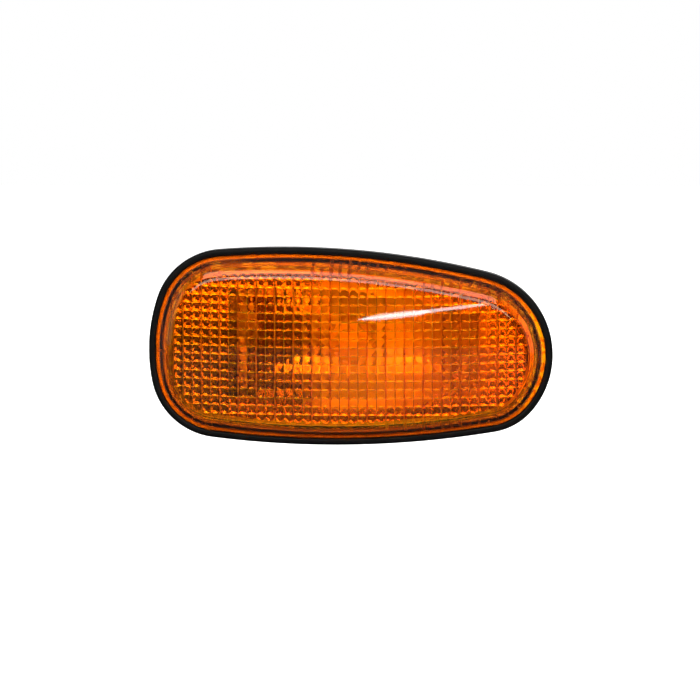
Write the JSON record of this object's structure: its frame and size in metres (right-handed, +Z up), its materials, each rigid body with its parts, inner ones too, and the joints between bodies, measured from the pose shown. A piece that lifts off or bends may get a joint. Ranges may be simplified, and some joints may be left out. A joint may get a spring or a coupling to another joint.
{
  "type": "vehicle indicator lamp",
  "caption": "Teardrop side indicator lamp: amber pillow-optic lens, black rubber seal, clip-in housing with reflector, and a quarter-turn holder with a wedge-base bulb and a socket.",
  "frame": {"origin": "on the plane of the body panel's outer face, which the back of the seal rests on, at the axis of the bulb", "axes": "lens looks along -Y, +Y points into the car body, +X to the right as seen from the front, +Z up"},
  "size_m": [0.1039, 0.047, 0.051],
  "materials": {
    "lens_amber": "polished outside, moulded pillows inside",
    "housing_black": "fine moulded grain",
    "seal_rubber": "satin",
    "reflector_bright": "vacuum metallised, mirror bright",
    "holder_grey": "satin",
    "holder_seal_rubber": "matt silicone",
    "contact_brass": "tinned, slightly dull",
    "clear_glass": "polished",
    "tungsten": "dull coil",
    "lead_wire": "drawn wire"
  },
  "bodies": {
    "lamp": {"lens": "lens_amber", "housing": "housing_black", "seal": "seal_rubber", "reflector": "reflector_bright"},
    "holder": {"bulb_holder": "holder_grey", "holder_seal": "holder_seal_rubber", "contact_left": "contact_brass", "contact_right": "contact_brass", "bulb_glass": "clear_glass", "bulb_filament": "tungsten", "bulb_lead_left": "lead_wire", "bulb_lead_right": "lead_wire"}
  },
  "joints": [
    {"name": "holder_twist", "type": "hinge", "parent": "lamp", "child": "holder", "pos_m": [0, 0.016, 0], "axis": [0, 1, 0], "range_deg": [0, 45]}
  ]
}
